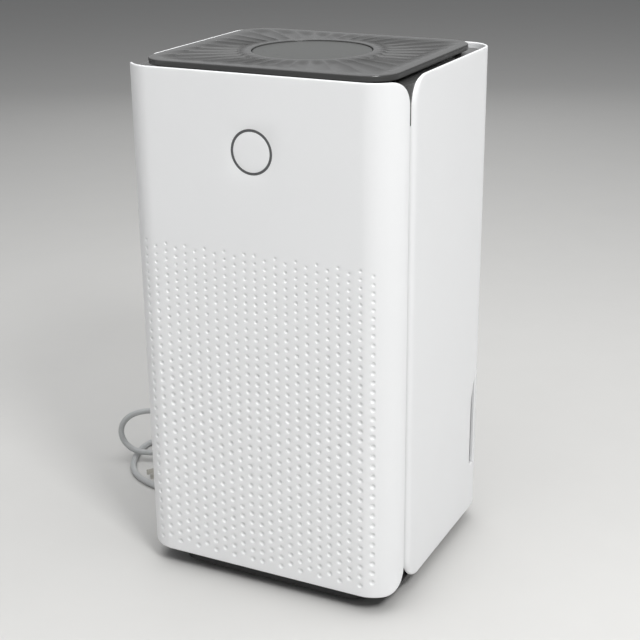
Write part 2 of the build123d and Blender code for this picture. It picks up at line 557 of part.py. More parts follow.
with BuildPart() as impeller:
    rod(FAN_R, (0, -22, FAN_Z), 2, "Y")
    rod(FAN_R, (0, 30, FAN_Z), 2, "Y")
    rod(70.0, (0, 29, FAN_Z), 4, "Y", Mode.SUBTRACT)
    rod(11.0, (0, -22, FAN_Z), 24, "Y")
    with BuildSketch(Plane.XZ.offset(20)) as blades:
        with Locations((0, FAN_Z)):
            with PolarLocations(76.0, BLADES):
                Rectangle(11.0, 1.4, rotation=35)
    extrude(amount=-50)
    rod(SHAFT_R, (0, -23, FAN_Z), 30, "Y", Mode.SUBTRACT)
save(impeller, "impeller")

with BuildPart() as motor_shaft:
    rod(SHAFT_R, (0, -54, FAN_Z), 56, "Y")
save(motor_shaft, "motor_shaft")

with BuildPart() as fan_motor:
    rod(38.0, (0, -78, FAN_Z), 44, "Y")
    fillet(fan_motor.edges().filter_by(GeomType.CIRCLE), 3.0)
    rod(SHAFT_R + 0.05, (0, -56, FAN_Z), 30, "Y", Mode.SUBTRACT)
save(fan_motor, "fan_motor")

with BuildPart() as motor_mount:
    rod(50.0, (0, SCROLL_Y0 - 2, FAN_Z), 2, "Y")
    rod(41.0, (0, -58, FAN_Z), 28, "Y")
    rod(38.0, (0, -60, FAN_Z), 26, "Y", Mode.SUBTRACT)
    rod(14.0, (0, -40, FAN_Z), 20, "Y", Mode.SUBTRACT)
save(motor_mount, "motor_mount")

# ---------------------------------------------------------------- electrics
BOX_X, BOX_Y, BOX_Z = (44.0, 124.0), (-112.0, -66.0), (60.0, 224.0)

with BuildPart() as board_box:
    block(BOX_X, BOX_Y, BOX_Z)
    block((BOX_X[0] + 2, BOX_X[1] - 2), (BOX_Y[0] - 1, BOX_Y[1] - 2), (BOX_Z[0] + 2, BOX_Z[1] - 2), Mode.SUBTRACT)
    for x in (BOX_X[0] + 8, BOX_X[1] - 8):
        for z in (BOX_Z[0] + 10, BOX_Z[1] - 10):
            rod(3.0, (x, BOX_Y[1] - 12, z), 11, "Y")
save(board_box, "board_box")

with BuildPart() as main_board:
    board_y = BOX_Y[1] - 13.6
    block((BOX_X[0] + 4, BOX_X[1] - 4), (board_y, board_y + 1.6), (BOX_Z[0] + 4, BOX_Z[1] - 4))
    block((56, 86), (board_y - 24, board_y), (74, 98))
    block((92, 110), (board_y - 16, board_y), (80, 104))
    block((60, 76), (board_y - 14, board_y), (116, 136))
    block((90, 114), (board_y - 12, board_y), (130, 142))
    block((56, 96), (board_y - 3, board_y), (168, 188))
    for x in (60, 72, 84, 96, 108):
        rod(4.0, (x, board_y - 10, 205), 10, "Y")
save(main_board, "main_board")

with BuildPart() as run_capacitor:
    rod(20.0, (92, -36, PAN_Z1), 78, "Z")
    fillet(run_capacitor.edges().group_by(Axis.Z)[-1], 3.0)
    for x in (87, 97):
        block((x - 3, x + 3), (-36.4, -35.6), (103, 112))
save(run_capacitor, "run_capacitor")

with BuildPart() as humidity_sensor:
    block((-116, -108), (100, 111), (440, 462))
    block((-108, -107), (102, 109), (444, 458))
save(humidity_sensor, "humidity_sensor")

with BuildPart() as wiring:  # leads from the main board up to the control unit
    pipe([(84, -100, BOX_Z[1]), (84, -100, 496), (84, -30, 496), (40, -30, 496), (40, -30, 506.3)], 2.5, 4.9)
save(wiring, "wiring")

# ---------------------------------------------------------------- power cord
GLAND_X, GLAND_Z = CORD_EXIT[0], CORD_EXIT[2]

with BuildPart() as cord_gland:
    rod(10.0, (GLAND_X, 118.5, GLAND_Z), 3, "Y")
    rod(7.0, (GLAND_X, 121.5, GLAND_Z), 3.5, "Y")
    with BuildSketch(Plane.XZ.offset(-125)):
        with Locations((GLAND_X, GLAND_Z)):
            Circle(6.4)
    with BuildSketch(Plane.XZ.offset(-CORD_EXIT[1])):
        with Locations((GLAND_X, GLAND_Z)):
            Circle(4.6)
    loft()
save(cord_gland, "cord_gland")

with BuildPart() as inner_lead:  # mains lead from the gland to the board box
    pipe([(GLAND_X, 118.5, GLAND_Z), (GLAND_X, 66, GLAND_Z), (-105, 40, 40), (-105, -84, 40),
          (-84, -109, 40), (50, -109, 40), (62, -100, 40), (62, -100, BOX_Z[0])], 3.0, 5.0)
save(inner_lead, "inner_lead")


def cord_tube(points):
    """A free stretch of cord: straight runs, and arcs as large as the runs allow."""
    places = [Vector(*p) for p in points]
    runs = [b - a for a, b in zip(places, places[1:])]
    radii = []
    for before, after in zip(runs, runs[1:]):
        half_turn = radians(before.get_angle(after)) / 2
        radii.append(0.45 * min(before.length, after.length) / tan(half_turn))
    with BuildPart() as tube:
        with BuildLine() as route:
            FilletPolyline(*points, radius=radii)
        with BuildSketch(Plane(origin=route.line @ 0, z_dir=route.line % 0)) as section:
            Circle(CORD_D / 2)
        sweep(section.sketch, path=route.line)
    return tube


COIL_C, COIL_R, COIL_TURNS = (-95.0, 215.0), 37.5, 3.4
COIL_TOP = FLOOR + COIL_TURNS * CORD_D
ENTRY = (COIL_C[0] + 20.7, COIL_C[1] - 31.3, FLOOR)  # where the lead meets the coil
LEAD = [CORD_EXIT, (-93, 180, 46), (-120, 208, 49), (-162, 204, 53), (-202, 170, 57), (-230, 128, 60),
        (-252, 93, 62), (-278, 78, 61), (-294, 71, 52), (-300, 66, 37), (-294, 65, 21), (-278, 68, 10.8),
        (-252, 78, 10.8), (-224, 100, 4.5), (-192, 130, FLOOR), (-154, 155, FLOOR), (-112, 174, FLOOR),
        ENTRY]
TAIL = [(COIL_C[0], COIL_C[1] + COIL_R, COIL_TOP), (-140, 253, 24), (-186, 238, 12), (-226, 204, FLOOR),
        (-258, 166, FLOOR), (-280, 134, FLOOR), (-289, 106, FLOOR), (-286, 82, FLOOR), (-279, 62, FLOOR),
        (-268, 43, FLOOR), (-253, 28, FLOOR), (-232, 18, FLOOR), (-206, 12, FLOOR), (-176, 8, FLOOR),
        (-149, 15, FLOOR), (-134, 39, FLOOR), (-140, 68, FLOOR), (-164, 84, 4.5), (-190, 83, 7),
        (-203, 69, 9)]

power_cord_lead = cord_tube(LEAD)
save(power_cord_lead, "power_cord_lead")
power_cord_tail = cord_tube(TAIL)
save(power_cord_tail, "power_cord_tail")

with BuildPart() as cord_coil:  # the tied coil, as the ring that its turns fill
    rod(COIL_R + CORD_D / 2, (*COIL_C, 0), COIL_TOP + FLOOR, "Z")
    rod(COIL_R - CORD_D / 2, (*COIL_C, 0), COIL_TOP + FLOOR, "Z", Mode.SUBTRACT)
save(cord_coil, "cord_coil")

TIE_T = 1.2

with BuildPart() as cord_tie:
    x0, x1 = COIL_C[0] - COIL_R - CORD_D / 2, COIL_C[0] - COIL_R + CORD_D / 2
    y0, y1 = COIL_C[1] - 5, COIL_C[1] + 5
    block((x0 - TIE_T, x1 + TIE_T), (y0, y1), (0, COIL_TOP + FLOOR + TIE_T))
    block((x0, x1), (y0 - 1, y1 + 1), (TIE_T, COIL_TOP + FLOOR), Mode.SUBTRACT)
save(cord_tie, "cord_tie")

PLUG_REAR, PLUG_DIR, PLUG_L = TAIL[-1], (-0.6, -0.8, 0.0), 36.0
plug_plane = Plane(origin=PLUG_REAR, x_dir=(0.8, -0.6, 0), z_dir=PLUG_DIR)

with BuildPart() as plug_body:
    with BuildSketch(plug_plane):
        RectangleRounded(12, 11, 4)
    with BuildSketch(plug_plane.offset(14)):
        RectangleRounded(23, 16, 5)
    loft()
    with BuildSketch(plug_plane.offset(14)):
        RectangleRounded(23, 16, 5)
    extrude(amount=PLUG_L - 14)
save(plug_body, "plug_body")

with BuildPart() as plug_blades:  # two flat blades, 12.7 apart
    with BuildSketch(plug_plane.offset(PLUG_L)):
        with Locations((-6.35, 0), (6.35, 0)):
            Rectangle(1.5, 6.3)
    extrude(amount=17)
save(plug_blades, "plug_blades")
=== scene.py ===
"""Dehumidifier: looks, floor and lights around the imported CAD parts.

Lengths are in millimetres until make() turns them into metres. The front faces -Y and +Z is up.
"""

import json
from math import cos, hypot, pi, radians, sin, sqrt, tau

import bmesh
import bpy
from mathutils import Matrix, Vector


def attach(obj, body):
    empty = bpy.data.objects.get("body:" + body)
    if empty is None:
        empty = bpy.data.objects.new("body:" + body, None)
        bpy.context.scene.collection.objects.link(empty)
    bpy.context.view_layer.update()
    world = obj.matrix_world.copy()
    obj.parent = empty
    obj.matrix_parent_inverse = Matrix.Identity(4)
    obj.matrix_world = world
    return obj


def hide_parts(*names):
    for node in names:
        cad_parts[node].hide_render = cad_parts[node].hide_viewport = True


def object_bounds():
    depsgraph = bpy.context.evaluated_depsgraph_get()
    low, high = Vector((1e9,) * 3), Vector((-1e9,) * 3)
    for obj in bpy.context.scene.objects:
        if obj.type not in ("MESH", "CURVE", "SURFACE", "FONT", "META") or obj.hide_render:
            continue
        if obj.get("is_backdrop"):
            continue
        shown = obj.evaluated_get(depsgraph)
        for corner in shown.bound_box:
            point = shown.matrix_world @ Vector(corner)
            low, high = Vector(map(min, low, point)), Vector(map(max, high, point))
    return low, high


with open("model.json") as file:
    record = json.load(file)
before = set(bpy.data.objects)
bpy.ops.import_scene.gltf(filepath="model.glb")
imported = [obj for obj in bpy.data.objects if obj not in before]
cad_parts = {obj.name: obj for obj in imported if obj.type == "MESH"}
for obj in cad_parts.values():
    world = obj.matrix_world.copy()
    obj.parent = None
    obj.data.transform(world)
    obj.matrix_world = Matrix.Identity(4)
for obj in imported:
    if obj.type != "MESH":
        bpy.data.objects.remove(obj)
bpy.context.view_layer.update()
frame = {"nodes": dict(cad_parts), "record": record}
scene = bpy.context.scene
scene.view_settings.view_transform = "Standard"
MM = 0.001

# ---------------------------------------------------------------- camera
FORWARD = Vector((-0.4174, 0.8391, -0.3488)).normalized()
LEVEL = Vector((0.8953, 0.4454, 0.0)).normalized()
ROLL = -0.01
upright = LEVEL.cross(FORWARD)
cam_x = LEVEL * cos(ROLL) + upright * sin(ROLL)
cam_y = upright * cos(ROLL) - LEVEL * sin(ROLL)
camera = bpy.data.objects.new("camera", bpy.data.cameras.new("camera"))
scene.collection.objects.link(camera)
camera.data.sensor_width, camera.data.lens = 36.0, 75.38
turn = Matrix((cam_x, cam_y, -FORWARD)).transposed().to_4x4()
camera.matrix_world = Matrix.Translation((0.5769, -1.1489, 0.7268)) @ turn
scene.camera = camera


# ---------------------------------------------------------------- materials
def mixed(colour, factor):
    return [min(1.0, c * factor) for c in colour[:3]] + [1.0]


def moulded(name, colour, rough, metal=0.0, mottling=0.03, grain=1100.0, relief=0.02, rough_spread=0.05,
            stretch=(1, 1, 1), pattern=None, **sockets):
    """A surface whose colour, roughness and fine relief (mm) vary as a moulded, drawn or coated one does.

    pattern is a function that adds threads, beads and the like. sockets are constant values of the shader.
    """
    material = bpy.data.materials.new(name)
    material.use_nodes = True
    tree = material.node_tree
    new, link = tree.nodes.new, tree.links.new
    shader = tree.nodes["Principled BSDF"]
    shader.inputs["Metallic"].default_value = metal
    for socket, value in sockets.items():
        shader.inputs[socket.replace("_", " ").title().replace("Ior", "IOR")].default_value = value

    coords, mapping = new("ShaderNodeTexCoord"), new("ShaderNodeMapping")
    mapping.inputs["Scale"].default_value = stretch
    link(coords.outputs["Object"], mapping.inputs["Vector"])

    broad = new("ShaderNodeTexNoise")
    broad.inputs["Scale"].default_value = 14.0
    broad.inputs["Detail"].default_value = 5.0
    link(mapping.outputs["Vector"], broad.inputs["Vector"])
    tint = new("ShaderNodeMix")
    tint.data_type = "RGBA"
    tint.inputs["A"].default_value = mixed(colour, 1 - mottling)
    tint.inputs["B"].default_value = mixed(colour, 1 + mottling)
    link(broad.outputs["Fac"], tint.inputs["Factor"])
    base = tint.outputs["Result"]

    fine = new("ShaderNodeTexNoise")
    fine.inputs["Scale"].default_value = grain
    fine.inputs["Detail"].default_value = 3.0
    link(mapping.outputs["Vector"], fine.inputs["Vector"])
    height = fine.outputs["Fac"]

    if pattern:
        base, height = pattern(tree, mapping.outputs["Vector"], base, height, colour)

    spread = new("ShaderNodeMapRange")
    spread.inputs["To Min"].default_value = rough - rough_spread
    spread.inputs["To Max"].default_value = rough + rough_spread
    link(fine.outputs["Fac"], spread.inputs["Value"])
    bump = new("ShaderNodeBump")
    bump.inputs["Distance"].default_value = relief * MM
    bump.inputs["Strength"].default_value = 0.8
    link(height, bump.inputs["Height"])
    link(base, shader.inputs["Base Color"])
    link(spread.outputs["Result"], shader.inputs["Roughness"])
    link(bump.outputs["Normal"], shader.inputs["Normal"])
    return material


def texture(tree, kind, vector, **values):
    node = tree.nodes.new(kind)
    for socket, value in values.items():
        node.inputs[socket.replace("_", " ")].default_value = value
    tree.links.new(vector, node.inputs["Vector"])
    return node


def two_tone(tree, factor, first, second):
    node = tree.nodes.new("ShaderNodeMix")
    node.data_type = "RGBA"
    tree.links.new(factor, node.inputs["Factor"])
    for socket, value in (("A", first), ("B", second)):
        if isinstance(value, list):
            node.inputs[socket].default_value = value
        else:
            tree.links.new(value, node.inputs[socket])
    return node.outputs["Result"]


def traces(tree, vector, base, height, colour):
    """Copper runs under green varnish."""
    brick = texture(tree, "ShaderNodeTexBrick", vector, Scale=120.0, Mortar_Size=0.06, Row_Height=0.3)
    return two_tone(tree, brick.outputs["Fac"], base, mixed(colour, 2.1)), brick.outputs["Fac"]


def net(tree, vector, base, height, colour):
    """Threads crossing at 1.2 mm."""
    bands = []
    for direction in ("X", "Z"):
        wave = texture(tree, "ShaderNodeTexWave", vector, Scale=260.0)
        wave.bands_direction = direction
        bands.append(wave.outputs["Fac"])
    thread = tree.nodes.new("ShaderNodeMath")
    thread.operation = "MAXIMUM"
    for socket, band in zip(thread.inputs, bands):
        tree.links.new(band, socket)
    return two_tone(tree, thread.outputs["Value"], mixed(colour, 0.25), mixed(colour, 1.7)), thread.outputs["Value"]


def beads(tree, vector, base, height, colour):
    """Foam beads about 3 mm across."""
    cells = texture(tree, "ShaderNodeTexVoronoi", vector, Scale=330.0)
    return two_tone(tree, cells.outputs["Distance"], base, mixed(colour, 0.86)), cells.outputs["Distance"]


def tarnish(tree, vector, base, height, colour):
    """Darker blotches where handled metal has dulled."""
    blot = texture(tree, "ShaderNodeTexNoise", vector, Scale=60.0, Detail=8.0)
    return two_tone(tree, blot.outputs["Fac"], base, mixed(colour, 0.62)), height


WHITE = (0.86, 0.865, 0.87)
PAINT = {
    "white_plastic": moulded("white_plastic", WHITE, 0.42, mottling=0.012, grain=1500.0, relief=0.012,
                             specular_ior_level=0.42),
    "charcoal_plastic": moulded("charcoal_plastic", (0.056, 0.056, 0.055), 0.25, mottling=0.08, relief=0.012),
    "black_plastic": moulded("black_plastic", (0.022, 0.022, 0.023), 0.52, mottling=0.12, relief=0.03),
    "grey_plastic": moulded("grey_plastic", (0.52, 0.53, 0.54), 0.5, mottling=0.04, relief=0.02),
    "clear_plastic": moulded("clear_plastic", (0.80, 0.88, 0.91), 0.12, mottling=0.03, rough_spread=0.04, grain=400.0,
                             relief=0.01, transmission_weight=0.85, ior=1.49),
    "touch_panel": moulded("touch_panel", (0.066, 0.068, 0.065), 0.34, mottling=0.05, relief=0.006,
                           specular_ior_level=0.3),
    "ring_lens": moulded("ring_lens", (0.10, 0.102, 0.105), 0.35, mottling=0.05, relief=0.006),
    "white_foam": moulded("white_foam", (0.9, 0.9, 0.87), 0.8, pattern=beads, relief=0.3),
    "filter_net": moulded("filter_net", (0.10, 0.10, 0.105), 0.75, pattern=net, relief=0.25),
    "black_rubber": moulded("black_rubber", (0.026, 0.026, 0.026), 0.72, mottling=0.15, grain=700.0, relief=0.04),
    "circuit_board": moulded("circuit_board", (0.03, 0.19, 0.08), 0.3, pattern=traces, relief=0.04),
    "zinc_steel": moulded("zinc_steel", (0.66, 0.66, 0.67), 0.34, metal=1.0, mottling=0.07, stretch=(1, 1, 12),
                          pattern=tarnish),
    "black_steel": moulded("black_steel", (0.018, 0.018, 0.02), 0.28, mottling=0.2, grain=260.0, relief=0.05,
                           coat_weight=0.4),
    "aluminium_fin": moulded("aluminium_fin", (0.82, 0.83, 0.84), 0.3, metal=1.0, stretch=(1, 1, 20), relief=0.02),
    "copper_tube": moulded("copper_tube", (0.78, 0.40, 0.25), 0.32, metal=1.0, mottling=0.1, pattern=tarnish),
    "nickel_brass": moulded("nickel_brass", (0.76, 0.74, 0.69), 0.22, metal=1.0, stretch=(1, 1, 8), relief=0.008),
    "grey_cord": moulded("grey_cord", (0.50, 0.51, 0.51), 0.46, mottling=0.05, grain=900.0, relief=0.02),
}
for part in frame["record"]["subparts"]:
    node = frame["nodes"][part["node"]]
    node.data.materials.clear()
    node.data.materials.append(PAINT[part["material_slot"]])


# ---------------------------------------------------------------- power cord
CORD_D = 7.0
FLOOR = CORD_D / 2  # height of the cord's centre on the floor
LEAD = [(-92, 150, 44), (-93, 180, 46), (-120, 208, 49), (-162, 204, 53), (-202, 170, 57), (-230, 128, 60),
        (-252, 93, 62), (-278, 78, 61), (-294, 71, 52), (-300, 66, 37), (-294, 65, 21), (-278, 68, 10.8),
        (-252, 78, 10.8), (-224, 100, 4.5), (-192, 130, FLOOR), (-154, 155, FLOOR), (-112, 174, FLOOR)]
COIL_C, COIL_R, COIL_TURNS, COIL_START = (-95.0, 215.0), 37.5, 3.4, radians(-54)
TURN_POINTS = 14
TAIL = [(-140, 253, 24), (-186, 238, 12), (-226, 204, FLOOR),
        (-258, 166, FLOOR), (-280, 134, FLOOR), (-289, 106, FLOOR), (-286, 82, FLOOR), (-279, 62, FLOOR),
        (-268, 43, FLOOR), (-253, 28, FLOOR), (-232, 18, FLOOR), (-206, 12, FLOOR), (-176, 8, FLOOR),
        (-149, 15, FLOOR), (-134, 39, FLOOR), (-140, 68, FLOOR), (-164, 84, 4.5), (-190, 83, 7),
        (-203, 69, 9)]

route = list(LEAD)
steps = round(COIL_TURNS * TURN_POINTS)
for k in range(steps + 1):
    share = k / steps
    angle = COIL_START + share * COIL_TURNS * tau
    x, y = COIL_C[0] + COIL_R * cos(angle), COIL_C[1] + COIL_R * sin(angle)
    route.append((x, y, FLOOR + share * COIL_TURNS * CORD_D))
route += TAIL

line = bpy.data.curves.new("power_cord", "CURVE")
line.dimensions = "3D"
line.resolution_u = 8
line.bevel_depth = CORD_D / 2 * MM
line.bevel_resolution = 6
line.use_fill_caps = True
spline = line.splines.new("NURBS")
spline.points.add(len(route) - 1)
for point, place in zip(spline.points, route):
    point.co = (*(c * MM for c in place), 1.0)
spline.order_u = 3
spline.use_endpoint_u = True
cord = bpy.data.objects.new("power_cord", line)
scene.collection.objects.link(cord)
line.materials.append(PAINT["grey_cord"])
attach(cord, "casing")
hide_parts("power_cord_lead", "power_cord_tail", "cord_coil")


# ---------------------------------------------------------------- meshes
def make(name, bm, slot, body, sharp=38.0):
    """Turns a bmesh in millimetres into a smooth-shaded piece that rides on a body."""
    loose = [v for v in bm.verts if not v.link_faces]
    bmesh.ops.delete(bm, geom=loose, context="VERTS")
    bmesh.ops.scale(bm, vec=(MM, MM, MM), verts=bm.verts)
    mesh = bpy.data.meshes.new(name)
    bm.to_mesh(mesh)
    bm.free()
    mesh.polygons.foreach_set("use_smooth", [True] * len(mesh.polygons))
    mesh.set_sharp_from_angle(angle=radians(sharp))
    mesh.materials.append(PAINT[slot])
    piece = bpy.data.objects.new(name, mesh)
    scene.collection.objects.link(piece)
    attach(piece, body)
    return piece


def stack(bm, rings, closed=True, cap=True):
    """Skins a list of vertex rings in order, with a flat cap on each end."""
    for lower, upper in zip(rings, rings[1:]):
        n = len(lower)
        for k in range(n if closed else n - 1):
            m = (k + 1) % n
            bm.faces.new((lower[k], lower[m], upper[m], upper[k]))
    if cap:
        bm.faces.new(list(reversed(rings[0])))
        bm.faces.new(rings[-1])


HALF_W, HALF_D, CASE_Z0, CASE_Z1, WALL = 140.0, 124.0, 20.0, 520.0, 2.5


def on_case(s, z, depth, radius, front):
    """The point s along the casing's plan from the middle of a face, at height z and depth below the surface."""
    flat, bend = HALF_W - radius, radius * pi / 2
    d, side = abs(s), 1 if s >= 0 else -1
    if d <= flat:
        x, y, nx, ny = d, HALF_D, 0.0, 1.0
    elif d <= flat + bend:
        a = (d - flat) / radius
        x, y, nx, ny = flat + radius * sin(a), HALF_D - radius + radius * cos(a), sin(a), cos(a)
    else:
        x, y, nx, ny = HALF_W, HALF_D - radius - (d - flat - bend), 1.0, 0.0
    x, y = side * (x - depth * nx), y - depth * ny
    return Vector((x, -y, z)) if front else Vector((-x, y, z))


def case_wall(name, cols, level, radius, front, holes, patches, rim):
    """A wall of the casing with rounded rims. cols are places along the plan, level(s) the heights there.

    holes are the cells left open. A patch (i0, i1, j0, j1, s, z, rings, through) sets circles of (radius, depth)
    into its block of cells. rim(s, border) is how far an edge rolls out and in.
    """
    bm = bmesh.new()
    heights = [level(s) for s in cols]
    rows = len(heights[0])
    home, twin = {}, {}

    def vertex(s, z, depth):
        v = bm.verts.new(on_case(s, z, depth, radius, front))
        home[v] = (s, z)
        return v

    outer = [[vertex(s, heights[i][j], 0.0) for j in range(rows)] for i, s in enumerate(cols)]
    inner = [[vertex(s, heights[i][j], WALL) for j in range(rows)] for i, s in enumerate(cols)]
    border = set()
    for i in range(len(cols)):
        for j in range(rows):
            twin[outer[i][j]] = inner[i][j]
            if i in (0, len(cols) - 1) or j in (0, rows - 1):
                border.add(outer[i][j])
    set_in, open_in = set(), set(holes)
    for i0, i1, j0, j1, s, z, rings, through in patches:
        block = {(i, j) for i in range(i0, i1) for j in range(j0, j1)}
        set_in |= block
        if through:
            open_in |= block
    for i in range(len(cols) - 1):
        for j in range(rows - 1):
            corners = ((i, j), (i + 1, j), (i + 1, j + 1), (i, j + 1))
            if (i, j) not in open_in and (i, j) not in set_in:
                bm.faces.new([outer[a][b] for a, b in corners])
    for i0, i1, j0, j1, s, z, rings, through in patches:
        path = [(i, j0) for i in range(i0, i1)] + [(i1, j) for j in range(j0, j1)]
        path += [(i, j1) for i in range(i1, i0, -1)] + [(i0, j) for j in range(j1, j0, -1)]
        angles = [radians(-135) + tau * k / len(path) for k in range(len(path))]
        loops = [[outer[i][j] for i, j in path]]
        for r, depth in rings:
            loops.append([vertex(s + r * cos(a), z + r * sin(a), depth) for a in angles])
        stack(bm, loops, cap=False)
        if through:
            back = [vertex(s + rings[-1][0] * cos(a), z + rings[-1][0] * sin(a), WALL) for a in angles]
            twin.update(zip(loops[-1], back))
            stack(bm, [list(reversed(x)) for x in ([inner[i][j] for i, j in path], back)], cap=False)
        else:
            bm.faces.new(loops[-1])
    edges = [e for e in bm.edges if len(e.link_faces) == 1 and e.verts[0] in twin and e.verts[1] in twin]

    away, strips = {}, {}
    directed = []
    for edge in edges:
        loop = edge.link_loops[0]
        a, b = loop.vert, loop.link_loop_next.vert
        directed.append((a, b))
        s, z = home[a]
        normal = (on_case(s, z, 0, radius, front) - on_case(s, z, 1, radius, front)).normalized()
        out = (b.co - a.co).cross(normal).normalized()
        for v in (a, b):
            away.setdefault(v, []).append(out)
    for v, outs in away.items():
        s, z = home[v]
        normal = (on_case(s, z, 0, radius, front) - on_case(s, z, 1, radius, front)).normalized()
        out = sum(outs, Vector()).normalized()
        out /= max(0.5, out.dot(outs[0]))
        reach, drop = rim(s, v in border)
        strip = [v]
        for k in range(1, 6):
            a = k * pi / 10
            strip.append(bm.verts.new(v.co + out * reach * sin(a) - normal * drop * (1 - cos(a))))
        for k in range(1, 5):
            a = k * pi / 10
            strip.append(bm.verts.new(v.co + out * reach * cos(a) - normal * (drop + (WALL - drop) * sin(a))))
        strips[v] = strip + [twin[v]]
    for a, b in directed:
        for k in range(len(strips[a]) - 1):
            bm.faces.new((strips[b][k], strips[a][k], strips[a][k + 1], strips[b][k + 1]))
    for i in range(len(cols) - 1):
        for j in range(rows - 1):
            if (i, j) not in open_in:
                bm.faces.new([inner[a][b] for a, b in ((i, j), (i, j + 1), (i + 1, j + 1), (i + 1, j))])
    return make(name, bm, "white_plastic", "casing")


def spaced(start, end, count):
    """count steps from start to end, without the last."""
    return [start + (end - start) * k / count for k in range(count)]


def corner(s, end, radius, inset, rim_inset):
    """How much lower than its middle an edge is at s, where it rounds down into the wall's upright end."""
    a, b = radius - inset, radius - rim_inset
    t = min(1.0, max(0.0, (abs(s) - (end - radius)) / a))
    return b * (1 - sqrt(max(0.0, 1 - t * t)))


# ---------------------------------------------------------------- front cover, with its dimples
FRONT_R, LIP = 33.0, 1.25  # plan corner, and rounding of the plain rims
FRONT_END = 157.83  # the cover's upright rear edge, along the plan
FOOT_R, HEAD_R = 26.5, 24.0  # its lower and upper corners, seen from the side
PITCH = 10.66  # between dimple columns
LARGE_Z, SMALL_Z, SHRINK = 187.0, 353.0, 0.36  # dimples are full size below the one, and that much smaller at the other
RING_Z, RING_R, RING_W = 450.0, 21.0, 2.3  # groove of the round button
RING_HALF = 3 * PITCH  # half the block of cells around it

row_z = [32.3]  # dimple rows of the fuller columns, closer together towards the top
for step, count in ((10.35, 15), (9.13, 12), (8.0, 7)):
    for _ in range(count):
        row_z.append(row_z[-1] + step)
between = [row_z[0] - 5.17] + [(a + b) / 2 for a, b in zip(row_z, row_z[1:])] + [row_z[-1] + 4.0]

front_rows = [CASE_Z0 + LIP, 24.0]
for low, middle, high in zip(between, row_z, between[1:]):
    front_rows += [low, (low + middle) / 2, middle, (middle + high) / 2]
front_rows += spaced(between[-1], RING_Z - RING_HALF, 8)
ring_row = len(front_rows)
front_rows += spaced(RING_Z - RING_HALF, RING_Z + RING_HALF, 24)
front_rows += spaced(RING_Z + RING_HALF, CASE_Z1 - LIP, 12) + [CASE_Z1 - LIP]

edge_cols = [130.8 + (FRONT_END - LIP - 130.8) * sin(radians(90 * k / 16)) for k in range(17)]
half_cols = [PITCH / 4 * k for k in range(47)] + [126.7] + edge_cols
front_cols = [-s for s in reversed(half_cols[1:])] + half_cols
middle_col = len(half_cols) - 1


def front_level(s):
    foot = corner(s, FRONT_END, FOOT_R, LIP, LIP)
    head = corner(s, FRONT_END, HEAD_R, LIP, LIP)
    low, high = 70.0, 490.0  # only the rows beyond these follow the rounded corners
    out = []
    for z in front_rows:
        if z < low:
            z = low - (low - z) * (low - CASE_Z0 - LIP - foot) / (low - CASE_Z0 - LIP)
        elif z > high:
            z = high + (z - high) * (CASE_Z1 - LIP - head - high) / (CASE_Z1 - LIP - high)
        out.append(z)
    return out


def dimple(z):
    """Rings of a shallow round hollow, larger towards the foot of the cover."""
    size = 1.0 if z < LARGE_Z else 1.0 - SHRINK * (z - LARGE_Z) / (SMALL_Z - LARGE_Z)
    profile = ((3.1, 0.0), (2.85, 0.06), (2.55, 0.24), (2.1, 0.72), (1.5, 1.2), (0.85, 1.5), (0.3, 1.6))
    return [(r * size, depth * size) for r, depth in profile]


patches = []
for column in range(-11, 12):
    i0 = middle_col + 4 * column - 2
    full = column % 2 == (1 if column < 0 else 0)
    centres = row_z if full else between[1:-1]
    nudge = {10: 0.8, 11: 2.2}.get(abs(column), 0.0) * (1 if column > 0 else -1)  # wider apart on the corner
    for n, z in enumerate(centres):
        j0 = 2 + 4 * n + (0 if full else 2)
        patches.append((i0, i0 + 4, j0, j0 + 4, column * PITCH + nudge, z, dimple(z), False))
edge = ((0.5, 0.0), (0.15, 0.08), (0.05, 0.3), (0.05, 1.7))  # (clearance, depth) down one side of the groove
groove = [(RING_R + gap, depth) for gap, depth in edge]
groove += [(RING_R - RING_W - gap, depth) for gap, depth in reversed(edge)]
groove += [(12.0, 0.0), (5.0, 0.0)]
patches.append((middle_col - 12, middle_col + 12, ring_row, ring_row + 24, 0.0, RING_Z, groove, False))


def front_rim(s, border):
    """The same small rounding all the way round."""
    return LIP, LIP


front = case_wall("front_cover_dimpled", front_cols, front_level, FRONT_R, True, (), patches, front_rim)
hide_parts("front_cover")

# ---------------------------------------------------------------- rear shell, with rolled front edges
REAR_R, SHELL_END, SHELL_R = 26.0, 336.84, 27.0  # plan corner, upright front edge and its rounded ends
ROLL_OUT, ROLL_IN, CUT = 9.0, 5.0, 0.5  # roll of the front edge, and rounding of the openings
OPEN_X, TANK_Z0, TANK_Z1, GRILLE_Z0, GRILLE_Z1 = 113.0, 69.0, 251.0, 266.0, 502.5  # the two openings behind
WING_Y, GRIP_Z0, GRIP_LOW, GRIP_HIGH = 87.0 - CUT, 73.5, 144.5, 193.0  # hand grips: front, foot, heights of the top
ARCH_Y, ARCH_Z, ARCH_R, ARCH_END = 143.07, 141.35, 56.67, 121.0
FLAT_END = HALF_W - REAR_R  # where the corner begins
SIDE_START = FLAT_END + REAR_R * pi / 2  # where the flat side begins


def side_y(s):
    return HALF_D - REAR_R - (abs(s) - SIDE_START)


def grip_top(s):
    """Upper edge of the hand grip: an arch on the side that runs level round the corner."""
    y = side_y(s) if abs(s) > SIDE_START else on_case(s, 0, 0, REAR_R, False).y
    if y < WING_Y:
        t = min(1.0, (WING_Y - y) / 60)
        return GRIP_LOW + (GRIP_HIGH + CUT - GRIP_LOW) * t * t * (3 - 2 * t)
    if y > ARCH_END:
        return GRIP_HIGH + CUT
    return ARCH_Z + CUT + sqrt(max(0.0, ARCH_R**2 - (ARCH_Y - y) ** 2))


